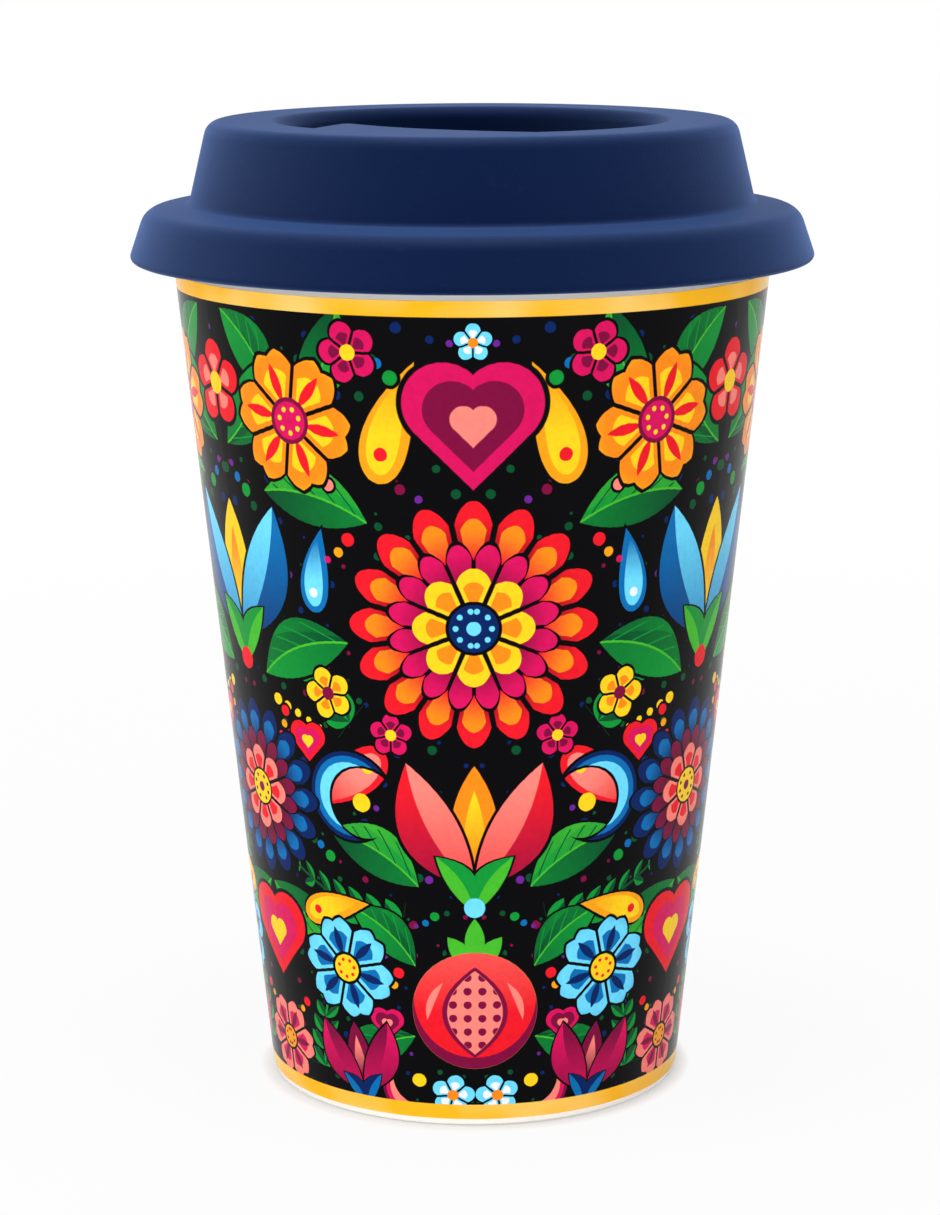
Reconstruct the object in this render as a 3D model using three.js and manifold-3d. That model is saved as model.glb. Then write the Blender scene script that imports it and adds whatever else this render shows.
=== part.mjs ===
// Lidded porcelain cup: a double-wall conical beaker with a printed wrap and a one-piece silicone lid.
// Millimetres, +Z up. The origin is the middle of the foot ring, on the surface that the cup stands on.
// The front of the cup faces -Y.
import * as THREE from "three";
import { mergeVertices } from "three/addons/utils/BufferGeometryUtils.js";
import Module from "manifold-3d";

// Outer shell
const CUP_HEIGHT = 135; // foot ring to the crown of the drinking rim
const FOOT_RADIUS = 32; // outer wall carried down to the foot
const MOUTH_RADIUS = 46.3; // outer wall carried up to the rim
const SHELL_WALL = 3;
const SHELL_FLOOR = 3.5;
const SHELL_FLOOR_ROUND = 3;
const FOOT_RING_HEIGHT = 2;
const FOOT_RING_WIDTH = 4.5;
const FOOT_RING_DRAFT = 1; // how far the ring's inner face leans back
const FOOT_EDGE_ROUND = 0.9;

// Inner liner, whose rim is luted to the top edge of the shell
const RIM_HEIGHT = 3.5; // from the shell's top edge to the crown of the rim
const RIM_ROUND = 2.4;
const LINER_WALL = 2.6;
const LINER_FLOOR = 3;
const LINER_FLOOR_ROUND = 6; // inside corner of the drinking bowl
const MOUTH_AIR_GAP = 0.3; // between the two walls, carried up to the rim
const FOOT_AIR_GAP = 3.9; // between the two walls, at the liner's underside
const FLOOR_AIR_GAP = 5.5; // between the two floors

// Stopper in the casting vent of the base
const VENT_RADIUS = 3;
const STOPPER_FIT = 0.1; // stem to vent, all round
const STOPPER_HEAD_LIP = 3; // head past the vent's edge
const STOPPER_HEAD_ROUND = 0.4;
const STOPPER_STAND_OFF = 0.8; // head above the table
const STOPPER_BULB_LIP = 0.7; // bulb past the vent's edge
const STOPPER_BULB_HEIGHT = 1.8;
const STOPPER_SNAP_GAP = 0.2; // bulb above the shell's floor

// Printed wrap, a fired transfer on the outer wall
const WRAP_BOTTOM = 1.25;
const WRAP_BELOW_RIM = 7.55; // from the crown of the rim to the wrap's top edge
const WRAP_THICKNESS = 0.1;
const WRAP_SEAT = 0.02;

// Lid: crown and flange
const LID_RISE = 15; // crown above the rim
const LID_WALL = 2.4;
const CROWN_STEP = 3.1; // foot of the crown inside the mouth radius
const CROWN_TAPER = 2.9; // top edge of the crown inside its foot
const CROWN_EDGE_ROUND = 2.4;
const CROWN_FOOT_ROUND = 1;
const FLANGE_RISE = 2.7; // flange's top above the rim, at the crown's foot
const SHOULDER_DROP = 1.1; // fall of the flange's top from there to its shoulder
const SHOULDER_OVERHANG = 3.7; // flange's shoulder past the mouth radius
const SHOULDER_ROUND = 3.2;
const SKIRT_OVERHANG = 6.3; // skirt's lower edge past the mouth radius
const SKIRT_DROP = 6.05; // skirt's lower edge below the rim
const SKIRT_WALL = 2.4;
const SKIRT_EDGE_ROUND = 0.8;

// Lid: bung inside the mouth
const SEAT_GAP = 0.2; // lid to the crown of the rim
const BUNG_DEPTH = 9.5; // below the rim
const BUNG_WALL = 2.6;
const BUNG_GAP = 0.9; // bung's wall to the liner
const BUNG_EDGE_ROUND = 1;
const BEAD_HEIGHT = 0.6; // sealing bead above the bung's wall
const BEAD_HALF_WIDTH = 0.9;
const BEAD_DEPTHS = [3.4, 6.6]; // below the rim

// Lid: well in the crown, the raised land on its front side, and the two holes in its floor
const CROWN_LAND_WIDTH = 11.3; // flat top between the well and the crown's edge
const WELL_DEPTH = 10.5;
const WELL_DRAFT = 0.8;
const WELL_FLOOR_ROUND = 2;
const LIP_ROUND = 2;
const LAND_WIDTH = 8.8; // tip of the land inside the well's wall
const LAND_TIP_ANGLE = 200; // degrees anticlockwise from +X, seen from above
const LAND_END_ANGLE = 220;
const LAND_START_ANGLE = 294;
const LAND_BOW = 4; // land's long edge, outward from its chord
const LAND_EDGE_ROUND = 0.8;
const LAND_TIP_ROUND = 0.8; // on the tip's upper edge
const SIP_LENGTH = 11;
const SIP_WIDTH = 5.5;
const SIP_INSET = 8.5; // middle of the sip slot inside the well's wall
const AIR_HOLE_RADIUS = 1.2;
const AIR_HOLE_INSET = 9;

// Facets
const SEGMENTS = 64;
const SMALL_SEGMENTS = 32;
const ARC_STEP = Math.PI / 5;
const CURVE_STEPS = 8;
const BEVEL_STEPS = 2;
const MERGE_DISTANCE = 1e-4;
const CUT_MARGIN = 1; // cutters reach this far past the faces that they cut

const wasm = await Module();
wasm.setup();

// Levels and radii that the pieces share
const shellTop = CUP_HEIGHT - RIM_HEIGHT;
const shellFloorTop = FOOT_RING_HEIGHT + SHELL_FLOOR;
const linerUnderside = shellFloorTop + FLOOR_AIR_GAP;
const linerFloorTop = linerUnderside + LINER_FLOOR;
const lidTop = CUP_HEIGHT + LID_RISE;
const wellFloorTop = lidTop - WELL_DEPTH;
const crownFootRadius = MOUTH_RADIUS - CROWN_STEP;
const crownTopRadius = crownFootRadius - CROWN_TAPER;
const wellRadius = crownTopRadius - CROWN_LAND_WIDTH;

function outerRadius(z) {
  return FOOT_RADIUS + ((MOUTH_RADIUS - FOOT_RADIUS) * z) / CUP_HEIGHT;
}

// The air gap narrows evenly from the liner's underside to the rim.
function linerOuterRadius(z) {
  const share = (z - linerUnderside) / (CUP_HEIGHT - linerUnderside);
  return outerRadius(z) - SHELL_WALL - THREE.MathUtils.lerp(FOOT_AIR_GAP, MOUTH_AIR_GAP, share);
}

function linerInnerRadius(z) {
  return linerOuterRadius(z) - LINER_WALL;
}

function bungRadius(z) {
  return linerInnerRadius(z) - BUNG_GAP;
}

function polar(radius, degrees) {
  const angle = THREE.MathUtils.degToRad(degrees);
  return new THREE.Vector2(radius * Math.cos(angle), radius * Math.sin(angle));
}

// An arc that rounds one corner, kept within half of the shorter side.
function filletPoints(before, corner, after, round) {
  const back = before.clone().sub(corner);
  const on = after.clone().sub(corner);
  const half = back.angleTo(on) / 2;
  const room = Math.min(back.length(), on.length()) / 2;
  const reach = Math.min(round / Math.tan(half), room);
  const radius = reach * Math.tan(half);
  back.normalize();
  on.normalize();
  const start = corner.clone().addScaledVector(back, reach);
  const end = corner.clone().addScaledVector(on, reach);
  const centre = corner.clone().addScaledVector(back.add(on).normalize(), radius / Math.sin(half));
  const first = start.sub(centre).angle();
  const turn = end.sub(centre).angle() - first;
  const sweep = Math.atan2(Math.sin(turn), Math.cos(turn));
  const steps = Math.max(2, Math.ceil(Math.abs(sweep) / ARC_STEP));
  return Array.from({ length: steps + 1 }, (_, i) => {
    const angle = first + (sweep * i) / steps;
    return new THREE.Vector2(Math.cos(angle), Math.sin(angle)).multiplyScalar(radius).add(centre);
  });
}

// A profile from its corners [radius, height, round]. A closed one ends where it starts.
function profilePoints(corners, closed) {
  const count = corners.length;
  const at = (i) => new THREE.Vector2(...corners[(i + count) % count].slice(0, 2));
  const points = corners.flatMap(([, , round], i) => {
    const isEnd = !closed && (i === 0 || i === count - 1);
    return round && !isEnd ? filletPoints(at(i - 1), at(i), at(i + 1), round) : [at(i)];
  });
  return closed ? [...points, points[0].clone()] : points;
}

function revolve(corners, { closed = false, segments = SEGMENTS } = {}) {
  return new THREE.LatheGeometry(profilePoints(corners, closed), segments).rotateX(Math.PI / 2);
}

function solidFrom(geometry) {
  const bare = geometry.clone();
  bare.deleteAttribute("normal");
  bare.deleteAttribute("uv");
  const merged = mergeVertices(bare, MERGE_DISTANCE);
  return new wasm.Manifold(
    new wasm.Mesh({
      numProp: 3,
      vertProperties: merged.getAttribute("position").array,
      triVerts: new Uint32Array(merged.index.array),
    }),
  );
}

function geometryFrom(solid) {
  const mesh = solid.getMesh();
  const geometry = new THREE.BufferGeometry();
  geometry.setAttribute("position", new THREE.BufferAttribute(mesh.vertProperties, mesh.numProp));
  geometry.setIndex(new THREE.BufferAttribute(mesh.triVerts, 1));
  geometry.computeVertexNormals();
  return geometry;
}

// Porcelain shell: foot ring, base with its casting vent, and the straight conical wall.
function outerShell() {
  const ringInner = FOOT_RADIUS - FOOT_RING_WIDTH;
  return revolve(
    [
      [VENT_RADIUS, FOOT_RING_HEIGHT],
      [ringInner - FOOT_RING_DRAFT, FOOT_RING_HEIGHT, FOOT_EDGE_ROUND],
      [ringInner, 0, FOOT_EDGE_ROUND],
      [FOOT_RADIUS, 0, FOOT_EDGE_ROUND],
      [outerRadius(shellTop), shellTop],
      [outerRadius(shellTop) - SHELL_WALL, shellTop],
      [outerRadius(shellFloorTop) - SHELL_WALL, shellFloorTop, SHELL_FLOOR_ROUND],
      [VENT_RADIUS, shellFloorTop],
    ],
    { closed: true },
  );
}

// Porcelain liner: the drinking bowl, hung in the shell by its rolled rim.
function innerLiner() {
  return revolve([
    [0, linerUnderside],
    [linerOuterRadius(linerUnderside), linerUnderside, LINER_FLOOR_ROUND + LINER_WALL],
    [linerOuterRadius(shellTop), shellTop],
    [outerRadius(shellTop), shellTop],
    [MOUTH_RADIUS, CUP_HEIGHT, RIM_ROUND],
    [linerInnerRadius(CUP_HEIGHT), CUP_HEIGHT, RIM_ROUND],
    [linerInnerRadius(linerFloorTop), linerFloorTop, LINER_FLOOR_ROUND],
    [0, linerFloorTop],
  ]);
}

// Silicone stopper: a flat head under the base, a stem through the vent, and a bulb that snaps in above.
function ventStopper() {
  const stemRadius = VENT_RADIUS - STOPPER_FIT;
  const bulbBottom = shellFloorTop + STOPPER_SNAP_GAP;
  return revolve(
    [
      [0, STOPPER_STAND_OFF],
      [VENT_RADIUS + STOPPER_HEAD_LIP, STOPPER_STAND_OFF, STOPPER_HEAD_ROUND],
      [VENT_RADIUS + STOPPER_HEAD_LIP, FOOT_RING_HEIGHT],
      [stemRadius, FOOT_RING_HEIGHT],
      [stemRadius, bulbBottom],
      [VENT_RADIUS + STOPPER_BULB_LIP, bulbBottom],
      [stemRadius, bulbBottom + STOPPER_BULB_HEIGHT],
      [0, bulbBottom + STOPPER_BULB_HEIGHT],
    ],
    { segments: SMALL_SEGMENTS },
  );
}

// Printed wrap: a thin conical skin between its two border bands.
function wrapTransfer() {
  const top = CUP_HEIGHT - WRAP_BELOW_RIM;
  const inside = (z) => outerRadius(z) + WRAP_SEAT;
  return revolve(
    [
      [inside(WRAP_BOTTOM), WRAP_BOTTOM],
      [inside(WRAP_BOTTOM) + WRAP_THICKNESS, WRAP_BOTTOM],
      [inside(top) + WRAP_THICKNESS, top],
      [inside(top), top],
    ],
    { closed: true },
  );
}

// The round body of the lid: well, tapered crown, flange with its skirt, and the bung with two beads.
function lidBody() {
  const flangeTop = CUP_HEIGHT + FLANGE_RISE;
  const seat = CUP_HEIGHT + SEAT_GAP;
  const skirtBottom = CUP_HEIGHT - SKIRT_DROP;
  const skirtRadius = MOUTH_RADIUS + SKIRT_OVERHANG;
  const shoulderRadius = MOUTH_RADIUS + SHOULDER_OVERHANG;
  const bungBottom = CUP_HEIGHT - BUNG_DEPTH;
  const ceiling = lidTop - LID_WALL;
  const wellFootRadius = wellRadius - WELL_DRAFT;
  const beads = BEAD_DEPTHS.toReversed().flatMap((depth) => {
    const z = CUP_HEIGHT - depth;
    return [
      [bungRadius(z - BEAD_HALF_WIDTH), z - BEAD_HALF_WIDTH],
      [bungRadius(z) + BEAD_HEIGHT, z, BEAD_HEIGHT],
      [bungRadius(z + BEAD_HALF_WIDTH), z + BEAD_HALF_WIDTH],
    ];
  });
  return revolve([
    [0, wellFloorTop - LID_WALL],
    [wellFootRadius + LID_WALL, wellFloorTop - LID_WALL, WELL_FLOOR_ROUND + LID_WALL],
    [wellRadius + LID_WALL, ceiling, LIP_ROUND],
    [crownTopRadius - LID_WALL, ceiling, LIP_ROUND],
    [bungRadius(bungBottom) - BUNG_WALL, bungBottom, BUNG_EDGE_ROUND],
    [bungRadius(bungBottom), bungBottom, BUNG_EDGE_ROUND],
    ...beads,
    [bungRadius(seat), seat, BUNG_EDGE_ROUND],
    [shoulderRadius - SKIRT_WALL, seat, SHOULDER_ROUND - SKIRT_WALL],
    [skirtRadius - SKIRT_WALL, skirtBottom, SKIRT_EDGE_ROUND],
    [skirtRadius, skirtBottom, SKIRT_EDGE_ROUND],
    [shoulderRadius, flangeTop - SHOULDER_DROP, SHOULDER_ROUND],
    [crownFootRadius, flangeTop, CROWN_FOOT_ROUND],
    [crownTopRadius, lidTop, CROWN_EDGE_ROUND],
    [wellRadius, lidTop, LIP_ROUND],
    [wellFootRadius, wellFloorTop, WELL_FLOOR_ROUND],
    [0, wellFloorTop],
  ]);
}

// The land fills the front of the well, flush with the crown. Its outer side is buried in the well's wall.
function wellLand() {
  const buried = wellRadius + LIP_ROUND + LAND_EDGE_ROUND;
  const tip = polar(wellRadius - LAND_WIDTH, LAND_TIP_ANGLE);
  const start = polar(buried, LAND_START_ANGLE);
  const end = polar(buried, LAND_END_ANGLE);
  const chord = tip.clone().sub(start);
  const bow = new THREE.Vector2(-chord.y, chord.x).setLength(2 * LAND_BOW);
  const control = start.clone().add(tip).divideScalar(2).add(bow);
  const tipArc = filletPoints(control, tip, end, LAND_EDGE_ROUND + LAND_TIP_ROUND);
  const outline = new THREE.Shape();
  outline.absarc(0, 0, buried, end.angle(), start.angle(), false);
  outline.quadraticCurveTo(control.x, control.y, tipArc[0].x, tipArc[0].y);
  tipArc.slice(1).forEach((point) => outline.lineTo(point.x, point.y));
  outline.closePath();
  const depth = WELL_DEPTH + LID_WALL / 2 - 2 * LAND_EDGE_ROUND;
  const land = new THREE.ExtrudeGeometry(outline, {
    depth,
    curveSegments: CURVE_STEPS,
    bevelThickness: LAND_EDGE_ROUND,
    bevelSize: LAND_EDGE_ROUND,
    bevelOffset: -LAND_EDGE_ROUND,
    bevelSegments: BEVEL_STEPS,
  });
  return land.translate(0, 0, lidTop - depth - LAND_EDGE_ROUND);
}

// A drinking slot with round ends, through the well's floor.
function sipCutter() {
  const middle = (SIP_LENGTH - SIP_WIDTH) / 2;
  const x = SIP_INSET - wellRadius;
  const outline = new THREE.Shape();
  outline.absarc(x, middle, SIP_WIDTH / 2, 0, Math.PI, false);
  outline.absarc(x, -middle, SIP_WIDTH / 2, Math.PI, 2 * Math.PI, false);
  outline.closePath();
  const depth = LID_WALL + 2 * CUT_MARGIN;
  const cutter = new THREE.ExtrudeGeometry(outline, { depth, curveSegments: CURVE_STEPS, bevelEnabled: false });
  return cutter.translate(0, 0, wellFloorTop - LID_WALL - CUT_MARGIN);
}

// A small air hole across the well from the sip slot.
function airHoleCutter() {
  const depth = LID_WALL + 2 * CUT_MARGIN;
  const cutter = new THREE.CylinderGeometry(AIR_HOLE_RADIUS, AIR_HOLE_RADIUS, depth, SMALL_SEGMENTS / 2);
  return cutter
    .rotateX(Math.PI / 2)
    .translate(wellRadius - AIR_HOLE_INSET, 0, wellFloorTop - LID_WALL / 2);
}

function lid() {
  const body = solidFrom(lidBody()).add(solidFrom(wellLand()));
  return geometryFrom(body.subtract(solidFrom(sipCutter())).subtract(solidFrom(airHoleCutter())));
}

const porcelain = new THREE.MeshStandardMaterial({ color: 0xf4f2ee, roughness: 0.15 });
const printedGlaze = new THREE.MeshStandardMaterial({ color: 0x17141c, roughness: 0.2 });
const navySilicone = new THREE.MeshStandardMaterial({ color: 0x1b2d5c, roughness: 0.55 });
const clearSilicone = new THREE.MeshStandardMaterial({ color: 0xdcdcd6, roughness: 0.5 });

const cup = new THREE.Group();
const pieces = [
  ["outer_shell", outerShell(), porcelain],
  ["inner_liner", innerLiner(), porcelain],
  ["vent_stopper", ventStopper(), clearSilicone],
  ["wrap_transfer", wrapTransfer(), printedGlaze],
  ["lid", lid(), navySilicone],
];
for (const [name, geometry, material] of pieces) {
  const mesh = new THREE.Mesh(geometry, material);
  mesh.name = name;
  cup.add(mesh);
}

export default cup;
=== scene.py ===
"""Looks of the lidded porcelain cup. Laid out as an add-on, and run as a script around the packed model."""
import math

import bmesh
import bpy
from bpy.props import FloatProperty, FloatVectorProperty, IntProperty, PointerProperty
from mathutils import Euler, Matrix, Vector


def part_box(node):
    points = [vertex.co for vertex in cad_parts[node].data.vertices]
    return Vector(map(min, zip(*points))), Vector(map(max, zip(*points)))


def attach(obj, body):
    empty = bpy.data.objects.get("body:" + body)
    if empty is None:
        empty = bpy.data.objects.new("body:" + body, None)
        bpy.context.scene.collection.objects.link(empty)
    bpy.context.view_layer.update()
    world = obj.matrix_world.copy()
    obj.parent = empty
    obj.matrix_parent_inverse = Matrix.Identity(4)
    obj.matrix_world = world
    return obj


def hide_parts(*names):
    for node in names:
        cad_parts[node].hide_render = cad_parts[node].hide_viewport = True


bl_info = {
    "name": "Lidded porcelain cup",
    "version": (1, 0, 0),
    "blender": (4, 5, 0),
    "location": "3D View > Sidebar > Cup",
    "description": "Builds the glazed cup, its printed wrap and its silicone lid around the packed model",
    "category": "Add Mesh",
}

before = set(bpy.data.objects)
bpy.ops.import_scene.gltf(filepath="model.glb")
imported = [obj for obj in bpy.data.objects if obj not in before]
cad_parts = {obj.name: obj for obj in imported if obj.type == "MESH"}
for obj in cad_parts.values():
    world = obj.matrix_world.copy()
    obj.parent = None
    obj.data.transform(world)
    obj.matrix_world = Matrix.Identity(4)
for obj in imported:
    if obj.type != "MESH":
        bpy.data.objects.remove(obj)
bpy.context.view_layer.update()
SHELL_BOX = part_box("outer_shell")
LINER_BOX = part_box("inner_liner")
STOPPER_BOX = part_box("vent_stopper")
WRAP_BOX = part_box("wrap_transfer")
LID_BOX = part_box("lid")

MM = 0.001
RIM = LINER_BOX[1].z
LID_TOP = LID_BOX[1].z


# Sizes, colours and light that a user would change


def linear(code):
    """A colour written as hex digits, as the linear values that a shader takes."""
    parts = [int(code[i : i + 2], 16) / 255 for i in (0, 2, 4)]
    return tuple(c / 12.92 if c <= 0.04045 else ((c + 0.055) / 1.055) ** 2.4 for c in parts)


def length(label, words, millimetres):
    return FloatProperty(
        name=label, description=words, default=millimetres * MM, unit="LENGTH", precision=5
    )


def colour(label, words, code):
    return FloatVectorProperty(
        name=label, description=words, default=linear(code), subtype="COLOR", min=0, max=1
    )


def lamp_power(label, words, watts):
    return FloatProperty(name=label, description=words, default=watts, unit="POWER")


def brightness(label, words, strength):
    return FloatProperty(name=label, description=words, default=strength, min=0)


def tilt(label, words, degrees):
    return FloatProperty(
        name=label, description=words, default=math.radians(degrees), subtype="ANGLE"
    )


class CupSizes(bpy.types.PropertyGroup):
    """Sizes of the porcelain shell, its liner and its stopper."""

    foot_radius: length("Foot radius", "Outer wall carried down to the foot", 32)
    mouth_radius: length("Mouth radius", "Outer wall carried up to the rim", 46.3)
    shell_wall: length("Shell wall", "Thickness of the outer wall", 3)
    shell_floor: length("Shell floor", "Thickness of the base", 3.5)
    foot_ring_height: length("Foot ring height", "Recess under the base", 2)
    foot_ring_width: length("Foot ring width", "Width of the ring that the cup stands on", 4.5)
    liner_wall: length("Liner wall", "Thickness of the drinking bowl", 2.6)
    liner_floor: length("Liner floor", "Thickness of the bowl's floor", 3)
    mouth_gap: length("Mouth gap", "Air between the walls at the rim", 0.3)
    foot_gap: length("Foot gap", "Air between the walls at the liner's underside", 3.9)
    vent_radius: length("Vent radius", "Casting vent in the base", 3)


class LidSizes(bpy.types.PropertyGroup):
    """Sizes of the silicone lid."""

    wall: length("Wall", "Thickness of the crown and of the well's floor", 2.4)
    crown_step: length("Crown step", "Foot of the crown inside the mouth radius", 3.1)
    crown_taper: length("Crown taper", "Top edge of the crown inside its foot", 2.9)
    crown_round: length("Crown round", "Rounding of the crown's top edge", 2.4)
    flange_rise: length("Flange rise", "Top of the flange above the rim, at the crown's foot", 2.7)
    shoulder_drop: length("Shoulder drop", "Fall of the flange's top to its shoulder", 1.1)
    shoulder_overhang: length("Shoulder overhang", "Shoulder of the flange past the mouth radius", 3.7)
    shoulder_round: length("Shoulder round", "Rounding of the flange's shoulder", 3.2)
    skirt_overhang: length("Skirt overhang", "Lower edge of the skirt past the mouth radius", 6.3)
    skirt_drop: length("Skirt drop", "Lower edge of the skirt below the rim", 6.05)
    skirt_wall: length("Skirt wall", "Thickness of the skirt", 2.4)
    bung_gap: length("Bung gap", "Between the bung's wall and the liner", 0.9)
    bung_wall: length("Bung wall", "Thickness of the bung", 2.6)
    crown_land: length("Crown land", "Flat top between the well and the crown's edge", 11.3)
    well_depth: length("Well depth", "Floor of the well below the crown", 10.5)
    lip_round: length("Lip round", "Rounding of the well's lip", 2)


class PrintColours(bpy.types.PropertyGroup):
    """Inks of the printed wrap."""

    ground: colour("Ground", "Black ground of the print", "040406")
    band: colour("Border band", "The two border bands", "fbb71e")
    band_light: colour("Border band, thin", "Where the band's colour lies thin", "fbd27a")
    red: colour("Red", "Petals and berries", "ea1a28")
    salmon: colour("Salmon", "Light petals", "fb8478")
    magenta: colour("Magenta", "Petals", "d6125c")
    plum: colour("Plum", "Dark petals", "7c0b3c")
    orange: colour("Orange", "Petals", "fc8a18")
    yellow: colour("Yellow", "Flower eyes and drops", "fccf1e")
    amber: colour("Amber", "Shaded side of the yellow", "f6a017")
    green: colour("Green", "Leaves", "109236")
    lime: colour("Lime", "Lit side of the leaves", "45b62c")
    forest: colour("Forest", "Stems and shaded leaves", "064e2a")
    sky: colour("Sky", "Light blue scrolls", "6cd8fc")
    blue: colour("Blue", "Scrolls and petals", "0a6cb0")
    navy: colour("Navy", "Dark side of the scrolls", "06235e")
    white: colour("White", "Pale petals", "eef3fb")
    violet: colour("Violet", "Small dots", "6a2390")


class FinishColours(bpy.types.PropertyGroup):
    """Colours of the porcelain and of the silicone."""

    porcelain: colour("Porcelain", "White glazed porcelain", "f3f1ec")
    bisque: colour("Bisque", "Bare clay under the foot ring", "e3dccf")
    silicone: colour("Silicone", "Navy silicone of the lid", "041030")
    sheen: colour("Sheen", "Bluish bloom on the silicone", "6995e5")
    stopper: colour("Stopper", "Pale silicone of the stopper", "d9d9d2")


class StudioLook(bpy.types.PropertyGroup):
    """Light and camera of the studio, and how fine the pieces are."""

    key_power: lamp_power("Key power", "Large soft light on the left", 3.5)
    fill_power: lamp_power("Fill power", "Soft light on the right", 2.0)
    top_power: lamp_power("Top power", "Soft light overhead", 5.2)
    front_power: lamp_power("Front power", "Each of the two low soft lights in front", 3.0)
    horizon_level: brightness("Horizon level", "Light of the white walls", 0.4)
    zenith_level: brightness("Zenith level", "Light of the ceiling", 0.07)
    lens: FloatProperty(name="Lens", description="Focal length", default=105, min=1, unit="CAMERA")
    distance: length("Distance", "Camera in front of the cup's axis", 543.9)
    height: length("Height", "Camera above the table", 185.9)
    offset: length("Offset", "Camera to the right of the cup's axis", -0.54)
    pitch: tilt("Pitch", "Camera tilted down", 11.63)
    roll: tilt("Roll", "Camera turned about its view", -0.2)
    facets: IntProperty(name="Facets", description="Facets round the large pieces", default=192, min=24)


# Shader maths


class Shader:
    """Adds nodes to one tree."""

    def __init__(self, tree):
        self.tree = tree

    def node(self, kind, settings=None, sockets=None, output=0):
        """Adds a node of that type, applies its settings, then feeds its sockets."""
        made = self.tree.nodes.new(kind)
        for name, value in (settings or {}).items():
            if name == "stops":
                self.set_stops(made.color_ramp, value)
            else:
                setattr(made, name, value)
        for key, value in (sockets or {}).items():
            if isinstance(value, Value):
                self.tree.links.new(value.socket, made.inputs[key])
            else:
                made.inputs[key].default_value = value
        return Value(self, made.outputs[output]) if made.outputs else None

    @staticmethod
    def set_stops(ramp, stops):
        """Makes a ramp of flat steps, each from its place on."""
        ramp.interpolation = "CONSTANT"
        while len(ramp.elements) < len(stops):
            ramp.elements.new(1)
        for element, (place, tint) in zip(ramp.elements, stops):
            element.position = place
            element.color = tint

    def mix(self, share, low, high):
        """Colour low where share is 0 or less, and high where it is 1 or more."""
        sockets = {0: share, 6: rgba(low), 7: rgba(high)}
        return self.node("ShaderNodeMix", {"data_type": "RGBA"}, sockets, 2)

    def place(self):
        """The piece's own coordinates, in metres."""
        return self.node("ShaderNodeTexCoord", output="Object")

    def parts(self, vector):
        """The X, Y and Z of a vector."""
        first = self.node("ShaderNodeSeparateXYZ", None, {0: vector})
        return [first.output(i) for i in range(3)]

    def vector(self, x, y, z=0.0):
        return self.node("ShaderNodeCombineXYZ", None, {0: x, 1: y, 2: z})


def rgba(tint):
    """A colour socket or three linear values, as a colour input takes them."""
    return tint if isinstance(tint, Value) else (*tint[:3], 1)


class Value:
    """An output socket. Python operators on it add Math nodes."""

    def __init__(self, shader, socket):
        self.shader = shader
        self.socket = socket

    def output(self, key):
        """Another output of the same node."""
        return Value(self.shader, self.socket.node.outputs[key])

    def math(self, operation, *others, first=None, clamp=False):
        values = ([] if first is None else [first]) + [self, *others]
        settings = {"operation": operation, "use_clamp": clamp}
        return self.shader.node("ShaderNodeMath", settings, dict(enumerate(values)))

    def __add__(self, other):
        return self.math("ADD", other)

    __radd__ = __add__

    def __sub__(self, other):
        return self.math("SUBTRACT", other)

    def __rsub__(self, other):
        return self.math("SUBTRACT", first=other)

    def __mul__(self, other):
        return self.math("MULTIPLY", other)

    __rmul__ = __mul__

    def __truediv__(self, other):
        return self.math("DIVIDE", other)

    def __rtruediv__(self, other):
        return self.math("DIVIDE", first=other)

    def __neg__(self):
        return self * -1

    def __abs__(self):
        return self.math("ABSOLUTE")

    def both(self, other):
        """Where this field and the other are both inside."""
        return self.math("MAXIMUM", other)

    def either(self, other):
        """Where this field or the other is inside."""
        return self.math("MINIMUM", other)

    def fraction(self):
        return self.math("FRACT")

    def root(self):
        return self.math("SQRT")

    def angle(self, x):
        """The angle of the point (x, self)."""
        return self.math("ARCTAN2", x)

    def far(self, other):
        """The length of (self, other)."""
        return (self * self + other * other).root()

    def past(self, start, gain, clamp=False):
        """How far this is past the start, times the gain, held from 0 to 1 where it is clamped."""
        return (self - start).math("MULTIPLY", gain, clamp=clamp)

    def between(self, low, high):
        """Low where this is 0, high where it is 1."""
        return self * (high - low) + low


# Motifs of the print, in millimetres at size 1. A field is negative inside its shape.

# The soft edge of an ink, and the bare ground round a motif
EDGE = 0.09
HALO = 0.5
# Brings the widest place of a drop to the half width that is asked for
DROP_FULLNESS = 2.6


def sector(x, y, count, turn=0.0):
    """Place across a sector, from -0.5 to 0.5, where that many sectors go round the middle."""
    return (y.angle(x) * (count / math.tau) + (0.5 + turn)).fraction() - 0.5


def petal_ring(x, y, count, radius, tip, gap, turn=0.0):
    """Petals round a middle: wedges with round tips and an even gap between them."""
    half = math.pi / count
    around = sector(x, y, count, turn)
    away = x.far(y)
    share = abs(around) * 2
    side = away * (half * (share - 1)) + gap
    end = away - radius + share * share * tip
    return side.both(end)


def disc(x, y, radius):
    return x.far(y) - radius


def dot_ring(x, y, count, away, radius):
    """Dots in a ring round a middle."""
    across = sector(x, y, count) * (math.tau / count) * away
    return across.far(x.far(y) - away) - radius


def blade(x, y, size, width, bend=0.0):
    """A leaf blade from the origin along +X. Returns its field and the distance from its rib."""
    along = x / size
    bow = along * (1 - along) * 4
    lean = y - bow * bend
    return abs(lean) - bow * width, lean


def drop(x, y, size, width, bend=0.0):
    """A teardrop with its round end at the origin and its point along +X."""
    along = (x / size).math("MAXIMUM", 0)
    lean = y - along * along * bend
    return (abs(lean) - along.root() * (1 - along) * (width * DROP_FULLNESS)).both(-x)


def crescent(x, y, radius, bite, shift):
    """A disc with a smaller disc bitten out of it."""
    return disc(x, y, radius).both(-disc(x - shift, y, bite))


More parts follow.
